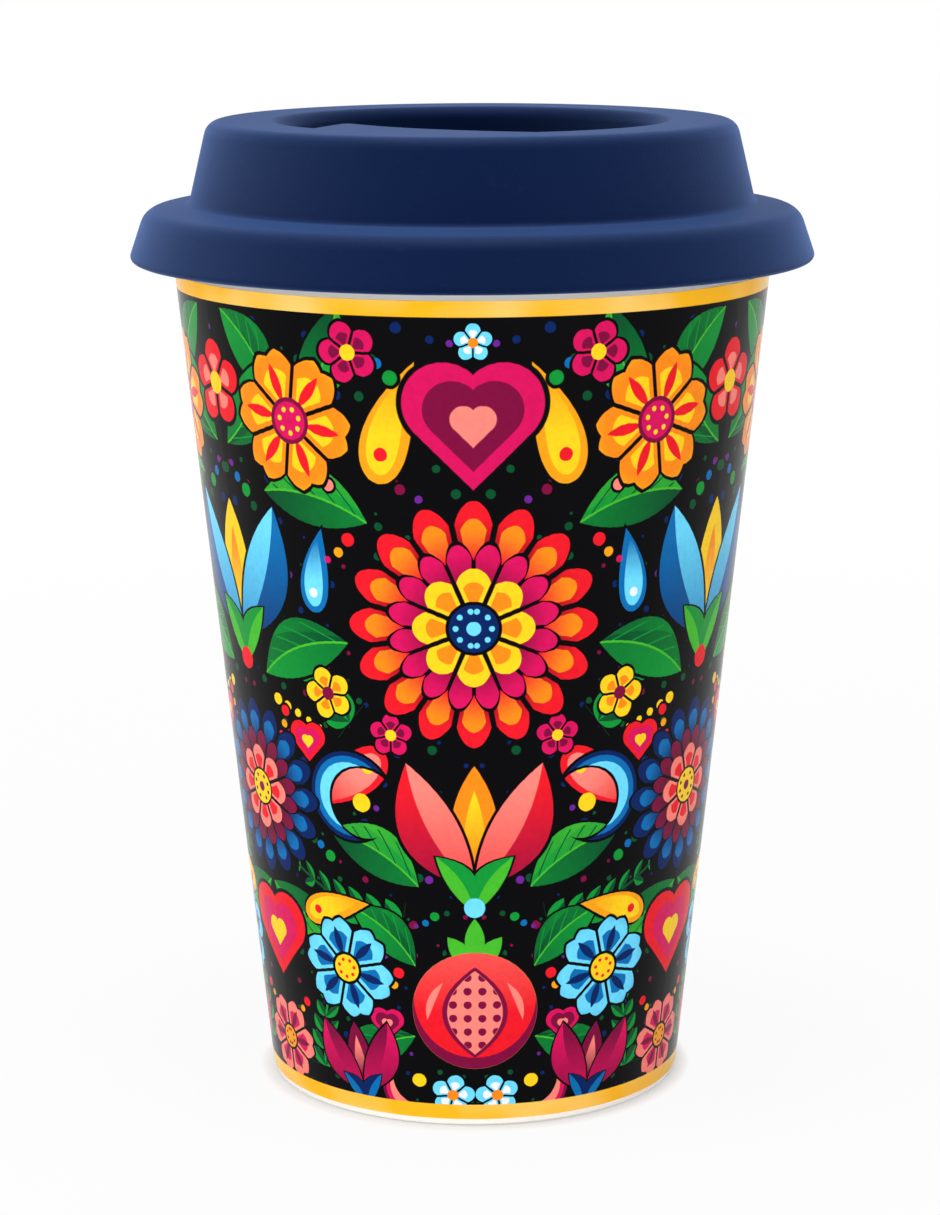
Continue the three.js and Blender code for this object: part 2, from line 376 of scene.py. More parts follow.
def heart_field(x, y, size):
    """A heart with its point at -X."""
    side = abs(y)
    corner = (side + abs(x) - size) / math.sqrt(2)
    lobe = disc(side - size / 2, x - size / 2, size / math.sqrt(2))
    return corner.either(lobe)


def turned(x, y, degrees):
    """The same point in axes turned by that angle."""
    c = math.cos(math.radians(degrees))
    s = math.sin(math.radians(degrees))
    return x * c + y * s, y * c - x * s


def fading(value, low, high):
    """0 where the value is low, 1 where it is high, even in between."""
    return ((value - low) / (high - low)).math("MAXIMUM", 0).math("MINIMUM", 1)


def dahlia(x, y):
    """A large flower of three petal rings round a beaded eye."""
    away = x.far(y)
    yield petal_ring(x, y, 16, 15, 3.4, 0.35), "gap", fading(away, 7.5, 13), "outer"
    yield petal_ring(x, y, 16, 13, 3.2, 0.85), "outer", fading(away, 8.5, 12), "flame"
    yield petal_ring(x, y, 16, 10.6, 2.4, -0.5, 0.5), "gap"
    yield petal_ring(x, y, 16, 10.1, 2.2, 0.25, 0.5), "gap", fading(away, 3, 9), "middle"
    yield petal_ring(x, y, 8, 7.2, 1.8, 0.3), "inner"
    yield petal_ring(x, y, 8, 5.6, 1.4, 0.75), "heart"
    yield disc(x, y, 3.3), "gap"
    yield disc(x, y, 2.9), "eye"
    yield dot_ring(x, y, 9, 2.1, 0.34), "seed"
    yield disc(x, y, 0.85), "seed"


def blossom(x, y):
    """A flower of six notched petals, each with a streak, round a dotted eye."""
    away = x.far(y)
    around = abs(sector(x, y, 6)) * 2
    notch = (0.34 - around).math("MAXIMUM", 0) * 2.6
    streak, _ = blade(away - 2.2, around * away * 0.5, 4.6, 0.62)
    yield petal_ring(x, y, 6, 8.4, 2.3, 0.26) + notch, "petal", fading(away, 7, 10) * 0.6, "throat"
    yield petal_ring(x, y, 6, 6.1, 1.9, 0.8), "throat"
    yield streak, "streak"
    yield disc(x, y, 2.7), "rim"
    yield disc(x, y, 2.2), "eye"
    yield dot_ring(x, y, 7, 1.4, 0.3), "seed"


def floret(x, y):
    """A small flower of five round petals."""
    yield petal_ring(x, y, 5, 4.4, 1.5, 0.22), "petal"
    yield petal_ring(x, y, 5, 2.9, 1.0, 0.55), "throat"
    yield disc(x, y, 1.15), "eye"


def tulip(x, y):
    """A tulip that opens along +X: two outer petals, a middle one and a cup of green."""
    side = abs(y)
    u, v = turned(x, side, 27)
    wing, lean = blade(u, v, 17.5, 3.6, 1.6)
    core, _ = blade(x, side, 15.5, 2.7)
    inner = drop(x - 3, side, 9.5, 1.25)
    cup, rib = blade(*turned(x + 3.2, side, 33), 8.6, 1.7, -0.9)
    yield core.either(wing).either(cup), "gap"
    yield core, "core"
    yield inner, "heart", fading(x, 11, 4), "core"
    yield wing - 0.4, "gap"
    yield wing, "wing", fading(x, 13, 1) * 0.8, "root"
    yield wing.both(lean), "shade", fading(x, 13, 2) * 0.7, "wing"
    yield cup - 0.3, "gap"
    yield cup, "leaf"
    yield cup.both(rib), "leaf_dark"
    yield disc(x + 2.6, y, 1.3), "bead"


def leaf(x, y):
    """A leaf in two greens, with slanted veins on its lit half."""
    body, lean = blade(x, y, 18, 4.3, 1.8)
    vein = abs((x * 0.3 - abs(lean) * 0.45).fraction() - 0.5) * 1.85 - 0.11
    lit = body.both(-lean)
    yield body, "dark", fading(x, 16, 2) * 0.5, "middle"
    yield lit, "middle", fading(x, 3, 15) * 0.45, "light"
    yield lit.both(x * 0.2 + 0.6 - lean), "light", fading(x, 17, 5) * 0.7, "middle"
    yield (body + 0.6).both(vein).both(-lean), "dark"
    yield body.both(abs(lean) - 0.17), "rib"


def sprig(x, y):
    """A stem with pairs of small leaves that shrink towards its end."""
    size = 22
    pitch = 3.6
    bent = y - (x / size) * (x / size) * 4.2
    cell = (x / pitch).math("FLOOR")
    grow = 1.15 - cell * 0.11
    u, v = turned(x - cell * pitch, abs(bent), 42)
    body, lean = blade(u / grow, v / grow, 5.2, 1.15, 0.2)
    span = abs(x - size / 2) - size / 2
    yield body.either(abs(bent) - 0.26).both(span), "stem"
    yield body.both(span), "light"
    yield body.both(lean).both(span), "dark"


def teardrop(x, y):
    """A bent drop with a shaded edge and a bead at its round end."""
    body = drop(x, y, 15, 3.0, 3.4)
    inner = drop(x - 1.1, y, 12.2, 2.0, 2.3)
    yield body, "edge"
    yield inner, "fill", fading(x, 6, 13), "edge"
    yield disc(x - 3.6, y, 0.85), "bead"


def scroll(x, y):
    """A crescent in three tones with a bead in its hollow."""
    yield crescent(x, y, 7.2, 6.2, 2.6), "dark"
    yield crescent(x, y, 6.5, 6.1, 2.5), "middle"
    yield crescent(x, y, 5.5, 5.9, 2.3), "light"
    yield disc(x - 2.2, y, 1.5), "bead"


def heart(x, y):
    """Three hearts, one in another."""
    yield heart_field(x, y, 5.2), "edge"
    yield heart_field(x - 0.2, y, 3.7), "fill"
    yield heart_field(x - 0.4, y, 1.7), "core"


def beads(x, y):
    """A row of beads that shrink along +X."""
    pitch = 2.5
    count = 5
    cell = (x / pitch).math("FLOOR").math("MAXIMUM", 0).math("MINIMUM", count - 1)
    yield disc(x - (cell + 0.5) * pitch, y, 1.0) + cell * 0.15, "fill"


def trio(x, y):
    """Three dots on a bow, each smaller than the last."""
    yield disc(x, y, 0.95), "first"
    yield disc(x - 2.4, y - 0.5, 0.7), "second"
    yield disc(x - 4.3, y - 1.5, 0.5), "third"


def fruit(x, y):
    """A round fruit with a three-pointed crown along +X and a window of seeds."""
    side = abs(y)
    crown, _ = blade(x - 7.0, y, 6.4, 1.3)
    ear, _ = blade(*turned(x - 6.2, side, 38), 5.8, 1.25)
    pitch = 2.0
    column = ((x * (1 / pitch)).fraction() - 0.5) * pitch
    row = ((y * (1 / pitch)).fraction() - 0.5) * pitch
    seed = disc(column, row, 0.62)
    window, _ = blade(x + 6.4, y, 12.4, 3.8)
    shine, _ = blade(*turned(x + 1.4, side - 6.6, -22), 6.0, 0.5, 0.5)
    skin = disc(x, y, 8.6)
    yield crown.either(ear).either(skin), "crown"
    yield skin, "skin", fading(x, 0, 9) * 0.35, "flesh"
    yield crescent(x, y, 8.6, 8.4, 1.5), "shade"
    yield shine, "shine"
    yield window - 0.7, "rim"
    yield window, "flesh"
    yield window.both(seed) + 0.05, "seed"


MOTIFS = (dahlia, blossom, floret, tulip, leaf, sprig, teardrop, scroll, heart, beads, trio, fruit)


def cover(field):
    """1 inside a field and 0 outside it, with a soft edge. A mix holds it within that range."""
    return field.math("MULTIPLY_ADD", -1 / EDGE, 0.5)


def motif_group(draw):
    """A node group that lays one motif over the colour under it. Its inks are inputs.

    A motif gives its layers from the bottom up: a field and its ink, and where that fades into another
    ink, the share and the name of the other. The first layer is the whole outline, with a halo of ground.
    """
    tree = bpy.data.node_groups.new("Motif " + draw.__name__, "ShaderNodeTree")
    face = tree.interface
    face.new_socket("Place", in_out="INPUT", socket_type="NodeSocketVector")
    face.new_socket("Under", in_out="INPUT", socket_type="NodeSocketColor")
    face.new_socket("Print", in_out="OUTPUT", socket_type="NodeSocketColor")
    shader = Shader(tree)
    entry = tree.nodes.new("NodeGroupInput")
    x, y, _ = shader.parts(Value(shader, entry.outputs["Place"]))
    shown = Value(shader, entry.outputs["Under"])

    def tint(name):
        if name not in entry.outputs:
            face.new_socket(name, in_out="INPUT", socket_type="NodeSocketColor")
        return Value(shader, entry.outputs[name])

    outline = None
    for field, ink, *fade in draw(x, y):
        if outline is None:
            outline = field - HALO
            shown = shader.mix(cover(outline), shown, tint("gap"))
        laid = shader.mix(fade[0], tint(ink), tint(fade[1])) if fade else tint(ink)
        shown = shader.mix(cover(field), shown, laid)
    result = tree.nodes.new("NodeGroupOutput")
    tree.links.new(shown.socket, result.inputs["Print"])
    return tree


# Layout of the print: one half of a repeat, mirrored about both of its long sides

REPEATS = 3
MIDDLE_RADIUS = 38.7
HALF_REPEAT = math.pi * MIDDLE_RADIUS / REPEATS


def inks(layers, names):
    """Which ink each of a motif's layers takes. Both are words in one string."""
    return dict(zip(layers.split(), names.split(), strict=True))


DAHLIA = "outer flame middle inner heart eye seed"
DAHLIA_WARM = inks(DAHLIA, "red orange magenta yellow orange navy sky")
DAHLIA_COOL = inks(DAHLIA, "navy blue plum salmon red yellow plum")
BLOSSOM = "petal throat streak rim eye seed"
BLOSSOM_ORANGE = inks(BLOSSOM, "orange yellow red plum magenta yellow")
BLOSSOM_SKY = inks(BLOSSOM, "sky blue navy ground yellow red")
BLOSSOM_PINK = inks(BLOSSOM, "salmon magenta plum ground amber plum")
FLORET = "petal throat eye"
FLORET_RED = inks(FLORET, "red salmon yellow")
FLORET_YELLOW = inks(FLORET, "yellow orange plum")
FLORET_SKY = inks(FLORET, "sky white orange")
FLORET_MAGENTA = inks(FLORET, "magenta plum yellow")
TULIP = "core heart wing shade root leaf leaf_dark bead"
TULIP_RED = inks(TULIP, "orange yellow red salmon plum lime green sky")
TULIP_PINK = inks(TULIP, "plum salmon magenta plum plum blue navy yellow")
TULIP_BLUE = inks(TULIP, "yellow orange blue sky navy lime green red")
LEAF = "dark middle light rib"
LEAF_GREEN = inks(LEAF, "forest green lime lime")
LEAF_DEEP = inks(LEAF, "green forest green lime")
SPRIG = "stem light dark"
SPRIG_GREEN = inks(SPRIG, "green green forest")
SPRIG_FOREST = inks(SPRIG, "forest green forest")
DROP = "edge fill bead"
DROP_GOLD = inks(DROP, "amber yellow red")
DROP_SALMON = inks(DROP, "red salmon yellow")
DROP_SKY = inks(DROP, "blue sky white")
SCROLL = "dark middle light bead"
SCROLL_BLUE = inks(SCROLL, "navy blue sky yellow")
SCROLL_PINK = inks(SCROLL, "plum magenta salmon yellow")
BEADS_YELLOW = inks("fill", "yellow")
BEADS_SALMON = inks("fill", "salmon")
TRIO = "first second third"
TRIO_WARM = inks(TRIO, "red amber magenta")
TRIO_COOL = inks(TRIO, "green blue violet")
HEART = "edge fill core"
HEART_RED = inks(HEART, "red magenta yellow")
HEART_PINK = inks(HEART, "magenta plum salmon")
FRUIT_RED = inks("crown skin shade shine rim flesh seed", "lime red plum salmon plum salmon plum")

# Each line: motif, inks, place across and up in millimetres, turn in degrees, size
LAYOUT = (
    (leaf, LEAF_GREEN, 24, 115, 118, 0.8),
    (leaf, LEAF_DEEP, 28, 115, 50, 0.8),
    (sprig, SPRIG_GREEN, 19, 70, 40, 0.8),
    (sprig, SPRIG_FOREST, 12, 37, 10, 0.95),
    (sprig, SPRIG_GREEN, 30, 8, 92, 0.9),
    (leaf, LEAF_DEEP, 39, 108, 128, 0.85),
    (leaf, LEAF_GREEN, 14.5, 99.5, 10, 0.95),
    (leaf, LEAF_DEEP, 18.5, 82, -22, 1.0),
    (leaf, LEAF_GREEN, 9, 44, 28, 0.95),
    (leaf, LEAF_DEEP, 10.5, 17, -32, 0.95),
    (leaf, LEAF_GREEN, 40, 40, 195, 0.9),
    (leaf, LEAF_DEEP, 10, 30, 40, 0.8),
    (teardrop, DROP_GOLD, 12.5, 105, 95, 1.1),
    (teardrop, DROP_SALMON, 14, 66, -50, 1.1),
    (teardrop, DROP_GOLD, 31, 36, 150, 0.9),
    (teardrop, DROP_SKY, 23.5, 86, 86, 0.8),
    (scroll, SCROLL_BLUE, 20, 58, 200, 1.0),
    (scroll, SCROLL_PINK, 11, 7, 120, 0.85),
    (beads, BEADS_YELLOW, 34, 72, 200, 0.9),
    (beads, BEADS_SALMON, 19, 104, 20, 0.8),
    (trio, TRIO_COOL, 10.5, 119, 35, 1.0),
    (trio, TRIO_WARM, 17.5, 97, -62, 1.0),
    (trio, TRIO_COOL, 35.5, 102, 28, 1.0),
    (trio, TRIO_WARM, 31.5, 70, -88, 0.9),
    (trio, TRIO_COOL, 24.5, 47.5, 30, 1.0),
    (trio, TRIO_WARM, 13, 28.5, -80, 1.0),
    (trio, TRIO_COOL, 6.5, 39, -50, 0.8),
    (trio, TRIO_WARM, 33.5, 19.5, -60, 0.9),
    (heart, HEART_RED, 27.2, 65.5, 90, 0.55),
    (heart, HEART_PINK, 15.6, 18.5, 90, 0.5),
    (floret, FLORET_SKY, 0, 123.6, 90, 0.55),
    (heart, HEART_PINK, 0, 112, 90, 1.45),
    (heart, HEART_RED, 40.5, 30, 90, 1.35),
    (fruit, FRUIT_RED, 0, 22, 90, 1.25),
    (tulip, TULIP_RED, 0, 44, 90, 1.3),
    (tulip, TULIP_BLUE, 40.5, 80, 90, 1.3),
    (tulip, TULIP_PINK, 21, 5, 84, 0.85),
    (blossom, BLOSSOM_ORANGE, 25.5, 112.5, 10, 1.15),
    (blossom, BLOSSOM_SKY, 23, 28, 15, 1.1),
    (blossom, BLOSSOM_PINK, 40.5, 11, 0, 0.95),
    (floret, FLORET_RED, 40.5, 116, 90, 1.3),
    (floret, FLORET_YELLOW, 22.5, 74, 0, 0.9),
    (floret, FLORET_MAGENTA, 16, 122, 0, 0.9),
    (floret, FLORET_MAGENTA, 12.5, 68.5, 20, 0.75),
    (floret, FLORET_SKY, 4, 6, 30, 0.9),
    (dahlia, DAHLIA_COOL, 40.5, 56, 0, 0.95),
    (dahlia, DAHLIA_WARM, 0, 85, 0, 1.2),
)

# Filler dots, in millimetres
DOT_INKS = ("forest", "navy", "plum", "forest", "violet", "navy")
DOT_PITCH = 4.2
DOT_SCATTER = 0.9
DOT_LEAST = 0.2
DOT_GROWTH = 0.55

BAND_WIDTH = 2.4
BAND_LOW = WRAP_BOX[0].z / MM + BAND_WIDTH
BAND_HIGH = WRAP_BOX[1].z / MM - BAND_WIDTH

# Grain of the screened inks and of the brushed bands: noise cells per metre, start and gain
SCREEN_CELLS = 1100
SCREEN_START = 0.4
SCREEN_GAIN = 0.3
BRUSH_CELLS = 75
BRUSH_START = 0.42
BRUSH_GAIN = 3.2


def cone_place(shader, sizes):
    """Place across and up the print in millimetres, stretched evenly so that motifs keep their shape."""
    x, y, z = shader.parts(shader.place())
    radius = x.far(y) / MM
    slope = (sizes.mouth_radius - sizes.foot_radius) / RIM
    lean = slope / math.hypot(1, slope)
    lowest = (sizes.foot_radius + slope * WRAP_BOX[0].z) / MM
    up = (radius / lowest).math("LOGARITHM", math.e) * (MIDDLE_RADIUS / lean)
    across = abs(sector(-y, x, REPEATS)) * (2 * HALF_REPEAT)
    return across, up, z


def filler_dots(shader, place, colours):
    """The ground with small dots of mixed inks scattered on it."""
    cells = {"voronoi_dimensions": "2D", "feature": "F1"}
    sockets = {"Vector": place, "Scale": 1 / DOT_PITCH, "Randomness": DOT_SCATTER}
    near = shader.node("ShaderNodeTexVoronoi", cells, sockets)
    pick, size, _ = shader.parts(near.output("Color"))
    stops = [(i / len(DOT_INKS), rgba(getattr(colours, ink))) for i, ink in enumerate(DOT_INKS)]
    ramp = shader.node("ShaderNodeValToRGB", {"stops": stops}, {0: pick})
    field = near * DOT_PITCH - size * DOT_GROWTH - DOT_LEAST
    return shader.mix(cover(field), colours.ground, ramp)


def printed_ink(shader, sizes, colours):
    """The colour of the print at each point: ground, dots, motifs in order, then the border bands."""
    across, up, height = cone_place(shader, sizes)
    place = shader.vector(across, up)
    groups = {draw: motif_group(draw) for draw in MOTIFS}
    shown = filler_dots(shader, place, colours)
    for draw, tints, right, rise, turn, size in LAYOUT:
        spot = {
            "Vector": place,
            "Location": (right, rise, 0),
            "Rotation": (0, 0, math.radians(turn)),
            "Scale": (size, size, 1),
        }
        local = shader.node("ShaderNodeMapping", {"vector_type": "TEXTURE"}, spot)
        sockets = {"Place": local, "Under": shown}
        for name, ink in {"gap": "ground", **tints}.items():
            sockets[name] = rgba(getattr(colours, ink))
        shown = shader.node("ShaderNodeGroup", {"node_tree": groups[draw]}, sockets)
    low = (height / MM).past(BAND_LOW, -1 / EDGE)
    high = (height / MM).past(BAND_HIGH, 1 / EDGE)
    grain = noise(shader, SCREEN_CELLS).past(SCREEN_START, SCREEN_GAIN)
    shown = shader.mix(grain, shown, colours.ground)
    brushed = noise(shader, BRUSH_CELLS, 1.0).past(BRUSH_START, BRUSH_GAIN)
    gold = shader.mix(brushed, colours.band, colours.band_light)
    return shader.mix(low.math("MAXIMUM", high), shown, gold)


# Finishes. A pair is the least and the most of what drifts over a surface.

# Filled by the operator of the finishes, for the pieces to take
FINISHES = {}

PRINT_IOR = 1.13
PRINT_ROUGHNESS = (0.13, 0.23)
PRINT_RIPPLE_DEPTH = 0.02 * MM

PORCELAIN_IOR = 1.5
PORCELAIN_ROUGHNESS = (0.12, 0.2)
PORCELAIN_RIPPLE_DEPTH = 0.03 * MM
GLAZE_SHADE = 0.965
GLAZE_LINE = 0.4 * MM
GLAZE_FADE = 0.25 * MM
BISQUE_SHADE = 0.85
BISQUE_ROUGHER = 0.6

SILICONE_IOR = 1.22
SILICONE_SHEEN = 0.55
SHEEN_ROUGHNESS = 0.5
STOPPER_IOR = 1.42
SKIN_ROUGHNESS = (0.48, 0.6)
SKIN_CLOUD_ROUGHER = 0.06
SKIN_SHADES = (0.86, 1.12)
SKIN_GRAIN_DEPTH = 0.03 * MM
LINT_START = 0.74
LINT_GAIN = 9
LINT_SHARE = 0.03
LINT_FADE = 0.6
LINT_GREY = 0.12


def new_finish(name):
    """An empty material and the shader builder for it."""
    made = bpy.data.materials.new(name)
    made.use_nodes = True
    made.node_tree.nodes.clear()
    return made, Shader(made.node_tree)


def surface(shader, steady, varying):
    """A Principled surface. Steady values are set on its sockets, varying ones are linked."""
    made = shader.node("ShaderNodeBsdfPrincipled", None, {**steady, **varying})
    shader.node("ShaderNodeOutputMaterial", None, {"Surface": made})


def noise(shader, cells, detail=2.0):
    """Fractal noise on the piece's own coordinates, with that many cells to the metre."""
    sockets = {"Vector": shader.place(), "Scale": cells, "Detail": detail}
    return shader.node("ShaderNodeTexNoise", None, sockets)


def relief(shader, height, depth):
    """A normal from a height field of that depth in metres."""
    return shader.node("ShaderNodeBump", None, {"Strength": 1.0, "Distance": depth, "Height": height})


def shaded(tint, share):
    """A lighter or darker shade of a colour."""
    return tuple(min(1, share * c) for c in tint)


def printed_glaze(sizes, colours):
    """Inks under a thin glaze that is a little uneven."""
    made, shader = new_finish("Printed glaze")
    ink = printed_ink(shader, sizes, colours)
    drift = noise(shader, cells=90)
    ripple = noise(shader, cells=260, detail=1.0)
    surface(
        shader,
        {"IOR": PRINT_IOR},
        {
            "Base Color": ink,
            "Roughness": drift.between(*PRINT_ROUGHNESS),
            "Normal": relief(shader, ripple, PRINT_RIPPLE_DEPTH),
        },
    )
    return made


def porcelain_glaze(colours):
    """White glaze, wiped off to the bare clay where the foot ring stands."""
    made, shader = new_finish("White porcelain")
    _, _, height = shader.parts(shader.place())
    drift = noise(shader, cells=60, detail=3.0)
    speck = noise(shader, cells=2600, detail=1.0)
    ripple = noise(shader, cells=220, detail=1.0)
    bare = height.past(GLAZE_LINE, -1 / GLAZE_FADE, clamp=True)
    shade = shader.mix(drift, shaded(colours.porcelain, GLAZE_SHADE), colours.porcelain)
    clay = shader.mix(speck, shaded(colours.bisque, BISQUE_SHADE), colours.bisque)
    surface(
        shader,
        {"IOR": PORCELAIN_IOR},
        {
            "Base Color": shader.mix(bare, shade, clay),
            "Roughness": drift.between(*PORCELAIN_ROUGHNESS) + bare * BISQUE_ROUGHER,
            "Normal": relief(shader, ripple, PORCELAIN_RIPPLE_DEPTH),
        },
    )
    return made


def soft_silicone(name, tint, steady):
    """Matt silicone with a fine grain, cloudy in tone and roughness, and specks of lint."""
    made, shader = new_finish(name)
    grain = noise(shader, cells=3200)
    cloud = noise(shader, cells=45, detail=3.0)
    lint = noise(shader, cells=900, detail=0.0)
    dust = lint.past(LINT_START, LINT_GAIN, clamp=True) * cloud
    dark, light = SKIN_SHADES
    shade = shader.mix(cloud, shaded(tint, dark), shaded(tint, light))
    pale = tuple(LINT_FADE * c + LINT_GREY for c in tint)
    surface(
        shader,
        steady,
        {
            "Base Color": shader.mix(dust * LINT_SHARE, shade, pale),
            "Roughness": grain.between(*SKIN_ROUGHNESS) + cloud * SKIN_CLOUD_ROUGHER,
            "Normal": relief(shader, grain, SKIN_GRAIN_DEPTH),
        },
    )
    return made


class CUP_OT_finishes(bpy.types.Operator):
    """Glaze, print and silicone materials"""

    bl_idname = "cup.finishes"
    bl_label = "Finishes"

    def execute(self, context):
        scene = context.scene
        tints = scene.finish_colours
        FINISHES["porcelain"] = porcelain_glaze(tints)
        FINISHES["print"] = printed_glaze(scene.cup_sizes, scene.print_colours)
        bloom = {
            "IOR": SILICONE_IOR,
            "Specular Tint": rgba(tints.sheen),
            "Sheen Weight": SILICONE_SHEEN,
            "Sheen Roughness": SHEEN_ROUGHNESS,
            "Sheen Tint": rgba(tints.sheen),
        }
        FINISHES["silicone"] = soft_silicone("Navy silicone", tints.silicone, bloom)
        FINISHES["stopper"] = soft_silicone("Pale silicone", tints.stopper, {"IOR": STOPPER_IOR})
        return {"FINISHED"}


# Turned pieces

ARC_STEP = math.radians(9)
SHARP = math.radians(35)
WELD = 1e-6
# The circle that a profile is swept along
PIVOT = 1 * MM


def round_corner(before, corner, after, radius):
    """Points of the arc that rounds one corner, kept within half of the shorter side."""
    back = before - corner
    on = after - corner
    half = back.angle(on) / 2
    reach = min(radius / math.tan(half), back.length / 2, on.length / 2)
    size = reach * math.tan(half)
    middle = corner + (back.normalized() + on.normalized()).normalized() * (size / math.sin(half))
    first = corner + back.normalized() * reach - middle
    last = corner + on.normalized() * reach - middle
    start = math.atan2(first.y, first.x)
    turn = math.remainder(math.atan2(last.y, last.x) - start, math.tau)
    count = max(2, math.ceil(abs(turn) / ARC_STEP))
    angles = [start + turn * i / count for i in range(count + 1)]
    return [middle + Vector((math.cos(a), math.sin(a))) * size for a in angles]


def profile_points(corners, closed):
    """A profile from its corners: radius, height and, where the corner is rounded, its round."""
    count = len(corners)
    spots = [Vector(c[:2]) for c in corners]
    points = []
    for i, c in enumerate(corners):
        inner = closed or 0 < i < count - 1
        if len(c) > 2 and inner:
            points += round_corner(spots[i - 1], spots[i], spots[(i + 1) % count], c[2])
        else:
            points.append(spots[i])
    return points


class Geometry:
    """Adds nodes to one Geometry Nodes tree."""

    def __init__(self, name, sockets):
        """Starts a tree that takes those sockets, each a name and its type, and gives a piece."""
        self.tree = bpy.data.node_groups.new(name, "GeometryNodeTree")
        face = self.tree.interface
        self.inputs = {}
        for label, kind in sockets.items():
            made = face.new_socket(label, in_out="INPUT", socket_type="NodeSocket" + kind)
            self.inputs[label] = made.identifier
        face.new_socket("Piece", in_out="OUTPUT", socket_type="NodeSocketGeometry")
        self.entry = self.tree.nodes.new("NodeGroupInput")

    def given(self, name):
        return self.entry.outputs[name]

    def node(self, kind, settings=None, sockets=None, output=0):
        """Adds a node of that type, applies its settings, then feeds its sockets."""
        made = self.tree.nodes.new(kind)
        for name, value in (settings or {}).items():
            setattr(made, name, value)
        for key, value in (sockets or {}).items():
            if isinstance(value, bpy.types.NodeSocket):
                self.tree.links.new(value, made.inputs[key])
            else:
                made.inputs[key].default_value = value
        return made.outputs[output]

    def math(self, operation, *values):
        return self.node("ShaderNodeMath", {"operation": operation}, dict(enumerate(values)))

    def end(self, shape):
        """Welds the shape, gives it its finish and ends the tree."""
        merged = self.node("GeometryNodeMergeByDistance", None, {"Geometry": shape, "Distance": WELD})
        smooth = self.node("GeometryNodeSetShadeSmooth", None, {0: merged})
        plain = self.node("GeometryNodeRealizeInstances", None, {0: smooth})
        coat = {"Geometry": plain, "Material": self.given("Finish")}
        made = self.node("GeometryNodeSetMaterial", None, coat)
        exit_node = self.tree.nodes.new("NodeGroupOutput")
        self.tree.links.new(made, exit_node.inputs["Piece"])


def revolve_tree():
    """Turns a profile, drawn as (radius - pivot, -height), about the Z axis."""
    sockets = {"Profile": "Geometry", "Facets": "Int", "Finish": "Material"}
    made = Geometry("Revolve profile", sockets)
    outline = made.node("GeometryNodeMeshToCurve", None, {0: made.given("Profile")})
    ring = {"Resolution": made.given("Facets"), "Radius": PIVOT}
    circle = made.node("GeometryNodeCurvePrimitiveCircle", None, ring)
    upright = made.node("GeometryNodeSetCurveNormal", {"mode": "Z_UP"}, {0: circle})
    swept = made.node("GeometryNodeCurveToMesh", None, {"Curve": upright, "Profile Curve": outline})
    made.end(swept)
    return made


def shown_object(name, mesh):
    made = bpy.data.objects.new(name, mesh)
    bpy.context.scene.collection.objects.link(made)
    return made


def face_out(mesh):
    """Points all faces outwards."""
    shape = bmesh.new()
    shape.from_mesh(mesh)
    bmesh.ops.recalc_face_normals(shape, faces=shape.faces)
    shape.to_mesh(mesh)
    shape.free()


def grown(name, mesh, geometry, values):
    """Runs a tree on a mesh and keeps the result as a plain piece, its faces pointing out."""
    seed = shown_object(name + "_seed", mesh)
    modifier = seed.modifiers.new("Build", "NODES")
    modifier.node_group = geometry.tree
    for key, value in values.items():
        modifier[geometry.inputs[key]] = value
    graph = bpy.context.evaluated_depsgraph_get()
    plain = bpy.data.meshes.new_from_object(seed.evaluated_get(graph))
    plain.name = name
    bpy.data.objects.remove(seed)
    face_out(plain)
    return shown_object(name, plain)


def revolved(name, corners, finish, facets, closed=False):
    """A piece turned from a profile, which is open where it ends on the axis."""
    points = profile_points(corners, closed)
    mesh = bpy.data.meshes.new(name + "_profile")
    pairs = [(i, i + 1) for i in range(len(points) - 1)]
    if closed:
        pairs.append((len(points) - 1, 0))
    mesh.from_pydata([(p.x - PIVOT, -p.y, 0) for p in points], pairs, [])
    return grown(name, mesh, revolve_tree(), {"Facets": facets, "Finish": finish})


def outer_radius(sizes, z):
    return sizes.foot_radius + (sizes.mouth_radius - sizes.foot_radius) * z / RIM


def liner_outer_radius(sizes, z):
    share = (z - LINER_BOX[0].z) / (RIM - LINER_BOX[0].z)
    gap = sizes.foot_gap + (sizes.mouth_gap - sizes.foot_gap) * share
    return outer_radius(sizes, z) - sizes.shell_wall - gap


def liner_inner_radius(sizes, z):
    return liner_outer_radius(sizes, z) - sizes.liner_wall


def seated(piece, body, slot, *nodes):
    """The piece rides on its body and stands for the CAD nodes, which are hidden. Its slot is not used."""
    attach(piece, body)
    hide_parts(*nodes)


FOOT_EDGE_ROUND = 0.9 * MM
FOOT_RING_DRAFT = 1 * MM
VENT_EDGE_ROUND = 0.3 * MM
SHELL_FLOOR_ROUND = 3 * MM


class CUP_OT_outer_shell(bpy.types.Operator):
    """Glazed porcelain shell with its foot ring and vented base"""

    bl_idname = "cup.outer_shell"
    bl_label = "Outer shell"

    def execute(self, context):
        sizes = context.scene.cup_sizes
        facets = context.scene.studio_look.facets
        top = SHELL_BOX[1].z
        floor = sizes.foot_ring_height + sizes.shell_floor
        ring = sizes.foot_radius - sizes.foot_ring_width
        corners = [
            (sizes.vent_radius, sizes.foot_ring_height, VENT_EDGE_ROUND),
            (ring - FOOT_RING_DRAFT, sizes.foot_ring_height, FOOT_EDGE_ROUND),
            (ring, 0, FOOT_EDGE_ROUND),
            (sizes.foot_radius, 0, FOOT_EDGE_ROUND),
            (outer_radius(sizes, top), top),
            (outer_radius(sizes, top) - sizes.shell_wall, top),
            (outer_radius(sizes, floor) - sizes.shell_wall, floor, SHELL_FLOOR_ROUND),
            (sizes.vent_radius, floor, VENT_EDGE_ROUND),
        ]
        piece = revolved("outer_shell_glazed", corners, FINISHES["porcelain"], facets, closed=True)
        seated(piece, "cup", "porcelain", "outer_shell")
        return {"FINISHED"}


